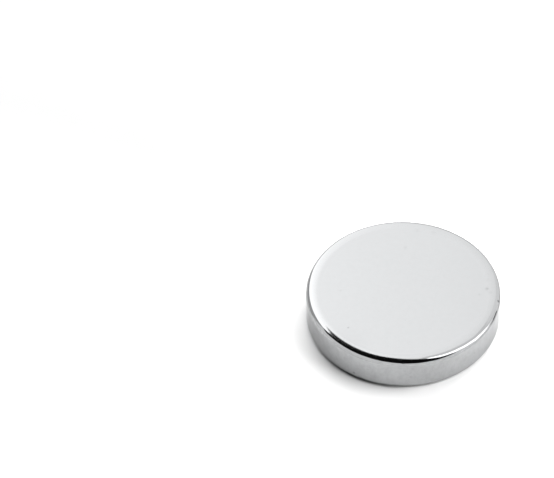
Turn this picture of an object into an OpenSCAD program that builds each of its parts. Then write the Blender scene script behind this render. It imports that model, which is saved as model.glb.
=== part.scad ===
// Disc magnet: a pressed and sintered disc, tumbled and then bright nickel plated.
// It is one piece, turned from one half section round its axis of magnetisation.
// Millimetres, +Z up. The origin is the centre of the lower pole face.

/* [Disc] */
// Diameter over the rim
disc_d = 15; // [8:0.5:40]
// Height from the lower pole face to the upper one
disc_h = 2.85; // [2:0.05:12]

/* [Edges] */
// Radius that tumbling left between a pole face's shoulder and the rim
edge_r = 0.35; // [0.1:0.05:0.7]
// Radius of the shoulder, the soft fall of a pole face just inside its edge
shoulder_r = 5; // [1:0.5:8]
// Angle, in degrees, that the shoulder turns through before the edge radius takes over
shoulder_turn = 8; // [2:1:15]

/* [Hidden] */
$fn = 180;

disc_r = disc_d / 2;

// How far the waste reaches past the blank, so that no face of it lies on the blank's
waste_over = 1;

// Centre of the upper edge arc, which touches the rim
edge_x = disc_r - edge_r;
edge_z = disc_h - shoulder_r + (shoulder_r - edge_r) * cos(shoulder_turn);

// Centre of the upper shoulder arc, which touches the pole face. It stands under
// the end of the flat, so its place is also the radius of the flat.
flat_r = edge_x - (shoulder_r - edge_r) * sin(shoulder_turn);
shoulder_z = disc_h - shoulder_r;

// Where the shoulder arc runs into the edge arc, both at the same slope
join_x = edge_x + edge_r * sin(shoulder_turn);

// What an arc leaves of the corner outside the radius x: the material beyond the arc
// of radius r round [arc_x, arc_z], from the height of the edge arc's centre up.
module beyond_arc(x, arc_x, arc_z, r) {
    difference() {
        translate([x, edge_z]) square([disc_r - x + waste_over, disc_h - edge_z + waste_over]);
        translate([arc_x, arc_z]) circle(r = r);
    }
}

// Everything that tumbling takes off the upper corner of the section.
module corner_waste() {
    beyond_arc(flat_r, flat_r, shoulder_z, shoulder_r);
    beyond_arc(join_x, edge_x, edge_z, edge_r);
}

// Half section of the disc, with the axis along its left side. The lower corner
// is the upper one turned over.
module half_section() {
    difference() {
        square([disc_r, disc_h]);
        corner_waste();
        translate([0, disc_h]) mirror([0, 1]) corner_waste();
    }
}

// The whole magnet: pole faces, shoulders, edges and rim as one solid.
module disc_magnet() {
    color([0.78, 0.79, 0.8]) rotate_extrude() half_section();
}

disc_magnet();
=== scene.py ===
# %% [markdown]
# # A nickel plated disc magnet
#
# The object is a plain disc, and nearly all that the eye gets from it is reflection. So the
# lesson has three parts: a section whose curvature is true to a tumbled and plated edge, a
# bright nickel finish, and a small studio whose lamps draw the lines that run round the rim.

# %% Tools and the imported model
import math

import bpy
import numpy as np
from mathutils import Matrix, Vector


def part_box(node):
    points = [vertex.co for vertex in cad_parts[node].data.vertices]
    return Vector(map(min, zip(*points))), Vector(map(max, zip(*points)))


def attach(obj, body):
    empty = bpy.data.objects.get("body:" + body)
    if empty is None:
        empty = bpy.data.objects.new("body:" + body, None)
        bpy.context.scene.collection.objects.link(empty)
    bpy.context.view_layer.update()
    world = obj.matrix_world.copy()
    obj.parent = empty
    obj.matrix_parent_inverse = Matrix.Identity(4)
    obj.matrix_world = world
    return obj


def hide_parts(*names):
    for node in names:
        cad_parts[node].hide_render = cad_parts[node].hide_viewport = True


MM = 0.001
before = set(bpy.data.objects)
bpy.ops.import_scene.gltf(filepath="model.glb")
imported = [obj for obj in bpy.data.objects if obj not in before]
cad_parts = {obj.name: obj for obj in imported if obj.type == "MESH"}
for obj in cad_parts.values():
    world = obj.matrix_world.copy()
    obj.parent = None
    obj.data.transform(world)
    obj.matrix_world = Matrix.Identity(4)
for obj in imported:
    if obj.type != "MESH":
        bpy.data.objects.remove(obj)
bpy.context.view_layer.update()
low, high = (np.array(corner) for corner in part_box("disc_magnet"))
print("disc_magnet from", low / MM, "to", high / MM, "mm")

# %% [markdown]
# ## The section of the edge
#
# A magnet of this kind is pressed from powder, sintered, ground to size, tumbled with
# abrasive stones and then plated. Tumbling rounds the edge twice over: the pole face falls
# away softly over the last fraction of a millimetre, the shoulder, and then turns tightly
# into the rim. A bevel modifier gives one radius only. Here the section is made from its
# true arcs instead, each tangent to the next, and turned round the axis.

# %% Sizes of the section, in millimetres
DISC_H = (high[2] - low[2]) / MM
DISC_R = (high[0] - low[0]) / MM / 2
EDGE_R = 0.35
SHOULDER_R = 5.0
SHOULDER_TURN = math.radians(8)
print(f"disc {2 * DISC_R:.3f} x {DISC_H:.3f} mm")


# %% The half section
def arc(centre, radius, first, last, count):
    """Points of an arc whose normal leans from the axis by an angle that runs from first to
    last: centre + radius * (sin, cos). Returns the points and the normals."""
    lean = np.linspace(first, last, count)
    normals = np.stack([np.sin(lean), np.cos(lean)], axis=1)
    return np.array(centre) + radius * normals, normals


def straight(start, end, normal, shares):
    """Points at the given shares of the way from start to end, all with one normal."""
    way = np.array(end) - np.array(start)
    return np.array(start) + np.asarray(shares)[:, None] * way, np.tile(normal, (len(shares), 1))


def crowded(first, last, count, spots=(), width=1.0, extra=0.0, steps=8000):
    """count numbers from first to last that crowd round the spots: the density at x is
    1 + extra * the sum of exp(-((x - spot) / width)^2), added up in small steps."""
    x = np.linspace(first, last, steps + 1)
    density = 1 + sum((extra * np.exp(-(((x - spot) / width) ** 2)) for spot in spots), 0 * x)
    share = np.concatenate([[0], np.cumsum((density[1:] + density[:-1]) / 2)])
    return np.interp(np.linspace(0, share[-1], count), share, x)


def half_section(face_rows, shoulder_rows, edge_rows, wall_rows, marked=()):
    """(radius, height) and normal of every row of the surface, from the middle of the upper
    pole face outwards and down the rim to its middle. The centres of the two arcs are worked
    out so that each arc touches its neighbours. Rows crowd at the radii that are marked."""
    edge_x = DISC_R - EDGE_R
    edge_z = DISC_H - SHOULDER_R + (SHOULDER_R - EDGE_R) * math.cos(SHOULDER_TURN)
    flat_r = edge_x - (SHOULDER_R - EDGE_R) * math.sin(SHOULDER_TURN)
    face_shares = crowded(0, flat_r, face_rows, marked, width=0.09, extra=12) / flat_r
    runs = [
        straight((0, DISC_H), (flat_r, DISC_H), (0, 1), face_shares),
        arc((flat_r, DISC_H - SHOULDER_R), SHOULDER_R, 0, SHOULDER_TURN, shoulder_rows),
        arc((edge_x, edge_z), EDGE_R, SHOULDER_TURN, math.pi / 2, edge_rows),
        straight((DISC_R, edge_z), (DISC_R, DISC_H / 2), (1, 0), np.linspace(0, 1, wall_rows)),
    ]
    print(f"face flat to {flat_r:.3f} mm, rim straight up to {edge_z:.3f} mm")
    # Each run starts on the last point of the one before, so that point is kept once.
    points = np.concatenate([runs[0][0]] + [run[0][1:] for run in runs[1:]])
    normals = np.concatenate([runs[0][1]] + [run[1][1:] for run in runs[1:]])
    return points, normals


def whole_section(upper, lower):
    """The upper half section, then the lower one mirrored in the middle plane and run
    backwards from the middle of the rim to the lower pole."""
    points = np.concatenate([upper[0], lower[0][-2::-1] * (1, -1) + (0, DISC_H)])
    return points, np.concatenate([upper[1], lower[1][-2::-1] * (1, -1)])


# %% [markdown]
# ## Marks of use
#
# The plating has a few pits and knocks, each one to four tenths of a millimetre wide. Each
# is a shallow round dimple, a bell curve pressed in along the surface's own normal, so it is
# real shape and catches the light from every side. Grime stays in its bottom and makes it
# One wider patch on the rim, at the front left and turned from the lamps, is painted shade:
# it is darker and has no depth. The rim is also not quite true: it has a ripple of a few
# thousandths of a millimetre, left from grinding and tumbling, which breaks up what it mirrors.

# %% Pits, in millimetres and degrees
# Radius is the distance from the axis. The last column is the share of the light that is
# taken: by grime in the pits, and by painted shade in the wide patch on the rim.
AZIMUTH, RADIUS, HEIGHT, WIDTH, DEPTH, GRIME_AND_SHADE = range(6)
PITS = [
    (0.0, 6.46, DISC_H, 0.26, 0.004, 0.22),
    (-3.4, 6.71, DISC_H, 0.24, 0.003, 0.07),
    (7.8, 6.65, DISC_H, 0.28, 0.003, 0.04),
    (-5.7, 5.86, DISC_H, 0.18, 0.002, 0.08),
    (66.3, 6.55, DISC_H, 0.34, 0.002, 0.05),
    (78.1, 6.43, DISC_H, 0.36, 0.002, 0.05),
    (85.8, 4.53, DISC_H, 0.26, 0.0015, 0.06),
    (-139.2, 5.74, DISC_H, 0.12, 0.003, 0.30),
    (178.7, 4.83, DISC_H, 0.20, 0.0015, 0.05),
    (-9.5, 7.38, 2.73, 0.17, 0.014, 0.80),
    (-92.2, 7.34, 2.75, 0.12, 0.014, 0.40),
    (-121.9, 7.50, 0.61, 0.18, 0.016, 0.50),
    (-87.5, 7.50, 1.27, 0.20, 0.008, 0.18),
    (-45.6, 7.50, 1.48, 0.18, 0.008, 0.22),
    # Painted shade: a wide patch on the rim at the front left, darker, with no depth.
    (-130.0, 7.50, 2.10, 3.20, 0.000, 0.06),
]


def toward(azimuth, elevation, distance):
    """The point at a distance from the origin in a direction given in degrees."""
    a, e = math.radians(azimuth), math.radians(elevation)
    return distance * math.cos(e) * math.cos(a), distance * math.cos(e) * math.sin(a), distance * math.sin(e)


def bells(places, column):
    """The sum over the pits of exp(-4 * (distance / width)^2) times one of their columns."""
    total = np.zeros(places.shape[:-1])
    for pit in PITS:
        centre = np.array([*toward(pit[AZIMUTH], 0, pit[RADIUS])[:2], pit[HEIGHT]])
        distance = np.linalg.norm(places - centre, axis=-1)
        total += pit[column] * np.exp(-4 * (distance / pit[WIDTH]) ** 2)
    return total


def ripple(azimuth, height, waves=14, shortest=0.5, longest=1.6, slope=0.020, seed=5):
    """A wavy surface: the sum of sines over the rolled out rim, in all directions, with wave
    lengths in millimetres and an amplitude of slope * length / (2 pi * root of waves)."""
    draw = np.random.default_rng(seed)
    total = np.zeros(height.shape)
    for _ in range(waves):
        length = draw.uniform(shortest, longest)
        way, phase = draw.uniform(0, np.pi), draw.uniform(0, 2 * np.pi)
        # Whole waves round the rim, so that the ripple has no seam.
        turns = round(2 * np.pi * DISC_R / length * math.cos(way))
        angle = turns * azimuth + 2 * np.pi / length * math.sin(way) * height + phase
        total += slope * length / (2 * np.pi * math.sqrt(waves)) * np.sin(angle)
    return total


# %% [markdown]
# The rows and the columns stand closer together at the marks. The lower half of the section
# has no marks on its pole face, so it needs fewer rows.

# %% Rows and columns
COLUMNS = 622
face_marks = [pit[RADIUS] for pit in PITS if pit[HEIGHT] == DISC_H]
section, section_normals = whole_section(
    half_section(face_rows=48, shoulder_rows=9, edge_rows=25, wall_rows=21, marked=face_marks),
    half_section(face_rows=10, shoulder_rows=8, edge_rows=21, wall_rows=21),
)
# The last column would fall on the first, so it is left out.
spread = crowded(-180, 180, COLUMNS + 1, [pit[AZIMUTH] for pit in PITS], width=1.2, extra=2)
azimuths = np.radians(spread[:-1])
print(len(section), "rows from pole to pole by", COLUMNS, "columns")


# %% The surface of revolution
def turned_grid(pairs, turns):
    """Places on a grid of rows by columns: (r cos a, r sin a, z) for every row's pair (r, z)
    and every column's azimuth a."""
    radius, height = pairs[:, :1], np.repeat(pairs[:, 1:], len(turns), axis=1)
    return np.stack([radius * np.cos(turns), radius * np.sin(turns), height], axis=-1)


def closed_shell(grid):
    """Vertices and faces of a grid whose first and last rows are single points, the poles.
    Each row between them is a ring. Faces run outwards: down the rows and on round."""
    rows, columns = grid.shape[:2]
    vertices = np.concatenate([grid[:1, 0], grid[1:-1].reshape(-1, 3), grid[-1:, 0]])
    ring = 1 + np.arange(rows - 2)[:, None] * columns + np.arange(columns)
    ahead = np.roll(ring, -1, axis=1)
    quads = np.stack([ring[:-1], ring[1:], ahead[1:], ahead[:-1]], axis=-1).reshape(-1, 4)
    top = np.stack([np.zeros_like(ring[0]), ring[0], ahead[0]], axis=-1)
    last = np.full_like(ring[0], len(vertices) - 1)
    bottom = np.stack([last, ahead[-1], ring[-1]], axis=-1)
    return vertices, quads.tolist() + top.tolist() + bottom.tolist()


def new_piece(name, vertices, faces, smooth=True):
    """A mesh object at the origin whose vertices, given in millimetres, are in metres."""
    mesh = bpy.data.meshes.new(name)
    mesh.from_pydata((np.asarray(vertices) * MM).tolist(), [], faces)
    mesh.polygons.foreach_set("use_smooth", np.full(len(mesh.polygons), smooth))
    mesh.update()
    piece = bpy.data.objects.new(name, mesh)
    bpy.context.scene.collection.objects.link(piece)
    return piece


# %% The plated disc
places, outward = turned_grid(section, azimuths), turned_grid(section_normals, azimuths)
# Grime in the pits, and painted shade in the wide patch on the rim.
grime_and_shade = bells(places, GRIME_AND_SHADE)
# 0 on a pole face and 1 on the rim. The ripple and the clouds grow with it.
sideways = 1 - outward[..., 2] ** 2
raised = sideways * ripple(azimuths, places[..., 2]) - bells(places, DEPTH)
places = places + outward * raised[..., None]
places[..., :2] += (low[:2] + high[:2]) / 2 / MM
places[..., 2] += low[2] / MM
magnet = new_piece("plated_disc", *closed_shell(places))
for name, grid in (("grime_and_shade", grime_and_shade), ("sideways", sideways)):
    layer = magnet.data.attributes.new(name, "FLOAT", "POINT")
    layer.data.foreach_set("value", np.concatenate([grid[:1, 0], grid[1:-1].ravel(), grid[-1:, 0]]))
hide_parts("disc_magnet")
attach(magnet, "root")
print("plated_disc:", len(magnet.data.polygons), "faces")


# %% [markdown]
# ## Bright nickel
#
# Bright nickel is plated from a bath with levelling agents, so it comes out of the tank as
# a near mirror with no polishing. What tells it from chrome is a softer, greyer reflection,
# a trace of orange peel from the ground and tumbled metal beneath, and faint clouds, mostly
# on the rim, where the plating is duller.

# %% Helpers for materials
def linear(code):
    """An sRGB hex colour as linear red, green, blue and alpha."""
    parts = [int(code[i : i + 2], 16) / 255 for i in (1, 3, 5)]
    return [p / 12.92 if p <= 0.04045 else ((p + 0.055) / 1.055) ** 2.4 for p in parts] + [1.0]


def add(tree, kind, links=(), **settings):
    """Adds a node. settings are its properties, or its inputs where their name starts with
    in_, with the input's own name or its number. links are (input, output socket) pairs."""
    node = tree.nodes.new(kind)
    for name, value in settings.items():
        if name.startswith("in_"):
            entry = name.removeprefix("in_").replace("_", " ")
            node.inputs[int(entry) if entry.isdigit() else entry].default_value = value
        else:
            setattr(node, name, value)
    for entry, output in links:
        tree.links.new(output, node.inputs[entry])
    return node


def new_material(name):
    """An empty node material and its output node."""
    material = bpy.data.materials.new(name)
    material.use_nodes = True
    material.node_tree.nodes.clear()
    return material, add(material.node_tree, "ShaderNodeOutputMaterial")


# %% Bright nickel plating
NICKEL = "#b1b2b3"
GLANCING = "#dcdcdc"
FACE_CLOUD, RIM_CLOUD = 0.018, 0.15
CLEAN_ROUGH, GRIMY_ROUGH = 0.06, 0.5


def bright_nickel():
    """Electroplated bright nickel: a metal, near mirror, neutral grey. Its colour is NICKEL *
    (1 - depth * cloud - darkening), with the depth of the clouds from FACE_CLOUD to RIM_CLOUD.
    The darkening is grime in the pits and painted shade in one wide patch on the rim. The clouds
    are drawn out a little along the axis. The darkening also makes the metal rough."""
    material, output = new_material("bright_nickel_plating")
    tree = material.node_tree
    position = add(tree, "ShaderNodeTexCoord").outputs["Object"]
    peel = add(tree, "ShaderNodeTexNoise", [("Vector", position)], in_Scale=1 / (1.2 * MM), in_Detail=3.0)
    bump = add(
        tree,
        "ShaderNodeBump",
        [("Height", peel.outputs["Fac"])],
        in_Strength=0.05,
        in_Distance=0.002 * MM,
    )
    grime_and_shade = add(tree, "ShaderNodeAttribute", attribute_name="grime_and_shade").outputs["Fac"]
    sideways = add(tree, "ShaderNodeAttribute", attribute_name="sideways").outputs["Fac"]
    drawn_out = add(tree, "ShaderNodeMapping", [("Vector", position)], in_Scale=(1, 1, 0.7))
    cloud = add(
        tree,
        "ShaderNodeTexNoise",
        [("Vector", drawn_out.outputs["Vector"])],
        in_Scale=1 / (0.45 * MM),
        in_Detail=4.0,
        in_Roughness=0.75,
    )
    depth = add(
        tree,
        "ShaderNodeMapRange",
        [("Value", sideways)],
        in_To_Min=FACE_CLOUD,
        in_To_Max=RIM_CLOUD,
    )
    clouded = add(
        tree,
        "ShaderNodeMapRange",
        [("Value", cloud.outputs["Fac"]), ("To Max", depth.outputs["Result"])],
        in_From_Min=0.42,
        in_From_Max=0.72,
        in_To_Min=0.0,
    )
    # The clouds, the grime in the pits and the painted shade on the rim, added up.
    clouds_grime_and_shade = add(tree, "ShaderNodeMath", [(0, clouded.outputs["Result"]), (1, grime_and_shade)], operation="ADD")
    share = add(
        tree,
        "ShaderNodeMapRange",
        [("Value", clouds_grime_and_shade.outputs["Value"])],
        in_To_Min=1.0,
        in_To_Max=0.0,
    )
    colour = add(
        tree,
        "ShaderNodeVectorMath",
        [("Scale", share.outputs["Result"])],
        in_Vector=linear(NICKEL)[:3],
        operation="SCALE",
    )
    rough = add(
        tree,
        "ShaderNodeMapRange",
        [("Value", grime_and_shade)],
        in_To_Min=CLEAN_ROUGH,
        in_To_Max=GRIMY_ROUGH,
    )
    shader = add(
        tree,
        "ShaderNodeBsdfPrincipled",
        [
            ("Base Color", colour.outputs["Vector"]),
            ("Roughness", rough.outputs["Result"]),
            ("Normal", bump.outputs["Normal"]),
        ],
        in_Specular_Tint=linear(GLANCING),
        in_Metallic=1.0,
    )
    tree.links.new(shader.outputs["BSDF"], output.inputs["Surface"])
    return material


magnet.data.materials.append(bright_nickel())

# %% [markdown]
# ## The studio
#
# A polished part is lit by what it reflects, so its studio is built as cards and not as
# spots: a matt white table in a pale tent, a graded screen behind the part that lights the
# back of the shoulder, a long key card at the upper right that draws the white line along
# the front edge, and a black card overhead, which shows as the black line. The cards are
# hidden from the camera, which would otherwise meet them in the views from above.


# %% Table
def glow(name, strength):
    """A white surface that gives off light evenly. At a strength of 0 it is black."""
    material, output = new_material(name)
    light = add(material.node_tree, "ShaderNodeEmission", in_Color=(1, 1, 1, 1), in_Strength=strength)
    material.node_tree.links.new(light.outputs["Emission"], output.inputs["Surface"])
    return material


def foot_shade(tree, reach, closed, open_up, azimuth, power, depth):
    """A shade on the table at the foot of the wall: depth * closeness * cos(angle)^power.
    The closeness runs from 0 to 1 as the ambient occlusion value within the reach falls
    from open_up to closed, and the angle is measured round the axis from the azimuth."""
    sky = add(tree, "ShaderNodeAmbientOcclusion", samples=8, in_Distance=reach * MM)
    closeness = add(
        tree,
        "ShaderNodeMapRange",
        [("Value", sky.outputs["AO"])],
        in_From_Min=closed,
        in_From_Max=open_up,
        in_To_Min=depth,
        in_To_Max=0.0,
    )
    place = add(tree, "ShaderNodeTexCoord").outputs["Object"]
    # Along the foot of the wall this is the cosine of the angle.
    facing = add(
        tree,
        "ShaderNodeVectorMath",
        [(0, place)],
        in_1=toward(azimuth, 0, 1 / (DISC_R * MM)),
        operation="DOT_PRODUCT",
    )
    near_side = add(tree, "ShaderNodeMath", [(0, facing.outputs["Value"])], in_1=0.0, operation="MAXIMUM")
    weight = add(tree, "ShaderNodeMath", [(0, near_side.outputs["Value"])], in_1=power, operation="POWER")
    return add(
        tree,
        "ShaderNodeMath",
        [(0, closeness.outputs["Result"]), (1, weight.outputs["Value"])],
        operation="MULTIPLY",
    ).outputs["Value"]


def matt_white():
    """Matt white paper with painted shade: white round the disc and painted greyer further out,
    so that the lamps don't burn it out there. It goes smoothly from white to the share of it
    that is left, over the distances in WHITE_TO_GREY. The share itself goes smoothly from
    LEFT_IN_FRONT to LEFT_AT_LAMPS across the disc, so the painted shade is deepest towards
    the lamps. Where the disc closes it in, a painted contact shadow takes the white down to
    black: deep and narrow on the side turned from the lamps, soft and faint on the right."""
    material, output = new_material("matt_white_table")
    tree = material.node_tree
    white = linear(PAPER)[0]
    place = add(tree, "ShaderNodeTexCoord").outputs["Object"]
    distance = add(tree, "ShaderNodeVectorMath", [(0, place)], operation="LENGTH")
    across = add(
        tree,
        "ShaderNodeVectorMath",
        [(0, place)],
        in_1=toward(LAMPS_AZIMUTH, 0, 1),
        operation="DOT_PRODUCT",
    )
    left = add(
        tree,
        "ShaderNodeMapRange",
        [("Value", across.outputs["Value"])],
        interpolation_type="SMOOTHSTEP",
        in_From_Min=-FADE * MM,
        in_From_Max=FADE * MM,
        in_To_Min=white * LEFT_IN_FRONT,
        in_To_Max=white * LEFT_AT_LAMPS,
    )
    paper = add(
        tree,
        "ShaderNodeMapRange",
        [("Value", distance.outputs["Value"]), ("To Max", left.outputs["Result"])],
        interpolation_type="SMOOTHSTEP",
        in_From_Min=WHITE_TO_GREY[0] * MM,
        in_From_Max=WHITE_TO_GREY[1] * MM,
        in_To_Min=white,
    )
    deep = foot_shade(tree, reach=0.4, closed=0.30, open_up=0.64, azimuth=232, power=6, depth=1.0)
    soft = foot_shade(tree, reach=0.8, closed=0.55, open_up=0.95, azimuth=-38, power=4, depth=0.12)
    shade = add(tree, "ShaderNodeMath", [(0, deep), (1, soft)], operation="ADD", use_clamp=True)
    shaded = add(tree, "ShaderNodeMapRange", [("Value", shade.outputs["Value"])], in_To_Max=0.0)
    tree.links.new(paper.outputs["Result"], shaded.inputs["To Min"])
    cloth = add(tree, "ShaderNodeBsdfDiffuse", [("Color", shaded.outputs["Result"])])
    tree.links.new(cloth.outputs["BSDF"], output.inputs["Surface"])
    return material


def disc_plane(radius, height, count=96):
    """Vertices and the one face of a flat round sheet."""
    turn = np.linspace(0, 2 * np.pi, count, endpoint=False)
    points = np.stack([radius * np.cos(turn), radius * np.sin(turn), np.full(count, height)], axis=1)
    return points, [list(range(count))]


TABLE_R = 900
PAPER = "#f4f4f4"
# Distances from the axis, in millimetres, between which the paper is painted greyer, a painted shade.
WHITE_TO_GREY = 8.5, 13
# Shares of the white that the painted shade leaves, FADE millimetres from the axis on either side.
LEFT_IN_FRONT, LEFT_AT_LAMPS = 0.68, 0.50
LAMPS_AZIMUTH, FADE = 65, 10
# The table's colour holds painted shade: greyer further out and towards the lamps, and a painted contact
# shadow at the foot of the disc.
table = new_piece("table", *disc_plane(TABLE_R, low[2] / MM), smooth=False)
table.data.materials.append(matt_white())


# %% Cards
def card(name, corners, material):
    """A flat card with the given corners in millimetres, hidden from the camera."""
    piece = new_piece(name, np.array(corners, dtype=float), [list(range(len(corners)))], smooth=False)
    piece.data.materials.append(material)
    piece.visible_camera = False
    return piece


def overhead(height, outline):
    """Corners of a level card at a height. The outline is in units of that height, so it
    says in which directions the card is seen and stays true if the card is moved up."""
    return [(x * height, y * height, height) for x, y in outline]


# Strengths of the cards, of the screen behind and of the tent.
FELT, KEY, WINDOW, SCREEN, LEFT, RIGHT, TENT = 0.006, 3.3, 3.2, 1.02, 0.6, 1.35, 1.15

card(
    "black_card",
    overhead(
        height=500,
        outline=[
            (0.10, 0.48), (0.00, 0.58), (-0.05, 0.605), (-0.11, 0.685), (-0.150, 0.730),
            (-0.173, 0.700), (-0.173, 0.675), (-0.222, 0.625), (-0.27, 0.620), (-0.60, 0.455),
            (-0.90, 0.29), (-0.74, 0.18), (-0.67, 0.05), (-0.65, -0.04), (-0.59, -0.17),
            (-0.52, -0.30), (-0.40, -0.53), (-0.27, -0.68), (-0.12, -0.87), (0.00, -1.06),
            (0.34, -1.29), (0.95, -1.50), (1.15, -0.62), (0.35, -0.2), (0.20, 0.15),
        ],
    ),
    glow("black_felt", FELT),
)
# The key card has one end cut straight across, and there its white line in the edge stops dead.
card(
    "key_card",
    overhead(
        height=400,
        outline=[
            (0.098, 0.490), (0.15, 0.475), (0.25, 0.385), (0.40, 0.265), (0.60, 0.22), (0.90, 0.24),
            (1.15, 0.32), (1.45, 0.40), (1.45, -0.36), (1.05, -0.35), (0.66, -0.265), (0.37, -0.08),
            (0.21, 0.13), (0.150, 0.27), (0.118, 0.38),
        ],
    ),
    glow("key_cloth", KEY),
)
card(
    "key_window",
    [
        (580, -135, 200), (580, 40, 200), (580, 92, 235), (580, 166, 280),
        (580, 166, 320), (580, 92, 370), (580, 40, 420), (580, -135, 420),
    ],
    glow("window_cloth", WINDOW),
)
# A small dark stand at the right, which only the plating sees. It draws the short dark dash
# in the edge.
stand = card(
    "dark_stand",
    [(39.2, 2.4, 0), (37.3, 11.2, 0), (37.3, 11.2, 10.5), (38.6, 7.1, 10), (39.2, 2.4, 3)],
    glow("dark_stand_cloth", 0.0),
)
stand.visible_diffuse = stand.visible_shadow = False


# %% [markdown]
# The table has lamps of its own, which the mirror of the plating doesn't see. They stand
# behind the part and to its right, and a black flag keeps the light off from the front, so
# that the shade on the table lies at the foot of the wall that faces the camera.


# %% Fills and flag
FILL_DISTANCE = 290


def band(name, azimuths, elevations, strength, step=15):
    """A curved card that only matt surfaces see: the part of a sphere round the disc between
    two azimuths and two elevations in degrees, in flat strips about a step wide."""
    count = 2 + int((azimuths[1] - azimuths[0]) / step)
    turns = np.linspace(*azimuths, count)
    lower, upper = ([toward(turn, rise, FILL_DISTANCE) for turn in turns] for rise in elevations)
    quads = [(i, i + 1, count + i + 1, count + i) for i in range(count - 1)]
    piece = new_piece(name, lower + upper, quads, smooth=False)
    piece.data.materials.append(glow(name + "_cloth", strength))
    piece.visible_camera = piece.visible_glossy = False
    return piece


band("top_fill", (-60, 150), (60, 89), 1.4)
band("back_fill", (45, 125), (5, 45), 7.35)
band("right_fill", (-36, 24), (15, 60), 6.6)
band("left_fill", (125, 165), (0, 45), 3.9)
band("front_flag", (165, 310), (0, 60), 0.0)

# %% [markdown]
# The screen behind the part is brighter at one end, as a sheet with a lamp to one side is.
# Its even slope shows in the plating as a soft change from left to right.


# %% Graded screen
def graded_screen(strengths, left, right, thins=None):
    """A white screen lit from one side. Its glow follows x across the screen, from the
    first strength at left to the last at right, in even steps. Where it thins, it goes over
    smoothly from whole to clear between the two distances from the axis."""
    material, output = new_material("graded_screen_cloth")
    tree = material.node_tree
    place = add(tree, "ShaderNodeTexCoord").outputs["Object"]
    x = add(tree, "ShaderNodeSeparateXYZ", [("Vector", place)]).outputs["X"]
    share = add(
        tree,
        "ShaderNodeMapRange",
        [("Value", x)],
        in_From_Min=left * MM,
        in_From_Max=right * MM,
    )
    # A curve takes values up to 1, so it holds the strengths as shares of the most.
    curve = add(tree, "ShaderNodeFloatCurve", [("Value", share.outputs["Result"])])
    points = curve.mapping.curves[0].points
    most = max(strengths)
    for i, strength in enumerate(strengths):
        at = (i / (len(strengths) - 1), strength / most)
        if i in (0, len(strengths) - 1):
            points[0 if i == 0 else -1].location = at
        else:
            points.new(*at)
    curve.mapping.update()
    power = add(tree, "ShaderNodeMath", [(0, curve.outputs["Value"])], in_1=most, operation="MULTIPLY")
    light = add(tree, "ShaderNodeEmission", [("Strength", power.outputs["Value"])])
    if thins is None:
        tree.links.new(light.outputs["Emission"], output.inputs["Surface"])
        return material
    level = add(tree, "ShaderNodeVectorMath", [(0, place)], in_1=(1, 1, 0), operation="MULTIPLY")
    distance = add(tree, "ShaderNodeVectorMath", [(0, level.outputs["Vector"])], operation="LENGTH")
    whole = add(
        tree,
        "ShaderNodeMapRange",
        [("Value", distance.outputs["Value"])],
        interpolation_type="SMOOTHSTEP",
        in_From_Min=thins[0] * MM,
        in_From_Max=thins[1] * MM,
        in_To_Min=1.0,
        in_To_Max=0.0,
    )
    clear = add(tree, "ShaderNodeBsdfTransparent")
    both = add(
        tree,
        "ShaderNodeMixShader",
        [(0, whole.outputs["Result"]), (1, clear.outputs["BSDF"]), (2, light.outputs["Emission"])],
    )
    tree.links.new(both.outputs["Shader"], output.inputs["Surface"])
    return material


SCREEN_Y = 420
SCREEN_LEFT, SCREEN_RIGHT = -225, 160
SCREEN_OUTLINE = [
    (SCREEN_LEFT, 170), (-60, 120), (0, 190), (30, 240), (SCREEN_RIGHT, 255),
    (SCREEN_RIGHT, 665), (60, 725), (60, 1100), (SCREEN_LEFT, 1100),
]
# Strengths at even steps from the left end of the screen to the right one.
SCREEN_STRENGTHS = 2.5, 2.45, 2.35, 2.12, 1.89, 1.72, 1.62, 1.55, 1.50
card(
    "back_screen",
    [(x, SCREEN_Y, z) for x, z in SCREEN_OUTLINE],
    graded_screen([SCREEN * v for v in SCREEN_STRENGTHS], SCREEN_LEFT, SCREEN_RIGHT),
)

# %% Side cards
card(
    "left_grey",
    [toward(*way, distance=480) for way in ((119, 4), (119, 50), (138, 55), (158, 40), (160, 4))],
    glow("left_grey_cloth", LEFT),
)
card(
    "right_back",
    [toward(*way, distance=620) for way in ((38, 0), (69.5, 0), (69.5, 52), (38, 52))],
    glow("right_back_cloth", RIGHT),
)
card(
    "right_wall",
    [(650, -420, 0), (650, 650, 0), (650, 650, 520), (650, -420, 520)],
    glow("right_wall_cloth", RIGHT),
)

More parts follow.
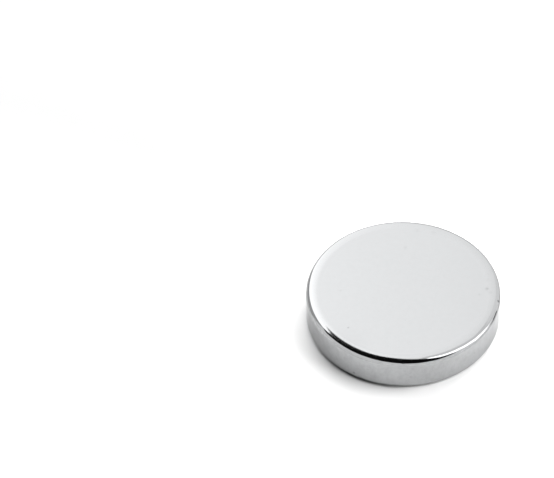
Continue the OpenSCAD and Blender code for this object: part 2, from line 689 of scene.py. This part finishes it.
# %% [markdown]
# The black card overhead belongs in the edge alone. Seen from above, the pole face would
# mirror it and go black all over. So a white diffuser lies close over the face, where only
# the plating sees it, and its border thins out to nothing over the shoulder.

# %% Diffuser over the pole face
FACE_STRENGTHS = 1.83, 1.775, 1.73, 1.69, 1.63
DIFFUSER_R = 7
DIFFUSER_GAP = 0.08
DIFFUSER_BORDER = 6.3, 6.85
diffuser = new_piece("face_diffuser", *disc_plane(DIFFUSER_R, high[2] / MM + DIFFUSER_GAP), smooth=False)
diffuser.data.materials.append(
    graded_screen(FACE_STRENGTHS, -DIFFUSER_R, DIFFUSER_R, thins=DIFFUSER_BORDER)
)
diffuser.visible_camera = diffuser.visible_diffuse = diffuser.visible_shadow = False

# %% Pale tent
world = bpy.data.worlds.new("pale_tent")
world.use_nodes = True
tent = world.node_tree.nodes["Background"]
tent.inputs["Color"].default_value = (1, 1, 1, 1)
tent.inputs["Strength"].default_value = TENT
bpy.context.scene.world = world
bpy.context.scene.view_settings.view_transform = "Standard"

# %% [markdown]
# ## The camera
#
# A long lens from well back, looking down at a bit over 45 degrees, so that the pole face
# keeps an almost even ellipse. It aims past the disc, which stands low and to the right in
# the frame, and it is rolled by about a degree.

# %% Camera
CAMERA_DISTANCE = 303.4
CAMERA_ELEVATION = math.radians(46.74)
CAMERA_ROLL = math.radians(-1.12)
LENS = 249.5
SENSOR_WIDTH = 36
AIM = -9.64, 8.369, 0
aim = Vector(AIM) * MM
back = Vector((0, -math.cos(CAMERA_ELEVATION), math.sin(CAMERA_ELEVATION)))
camera_data = bpy.data.cameras.new("camera")
camera_data.lens = LENS
camera_data.sensor_width = SENSOR_WIDTH
camera_data.clip_start, camera_data.clip_end = 10 * MM, 5
camera = bpy.data.objects.new("camera", camera_data)
camera.rotation_mode = "QUATERNION"
camera.location = aim + back * CAMERA_DISTANCE * MM
upright = (-back).to_track_quat("-Z", "Y")
camera.rotation_quaternion = upright @ Matrix.Rotation(CAMERA_ROLL, 3, "Z").to_quaternion()
bpy.context.scene.collection.objects.link(camera)
bpy.context.scene.camera = camera
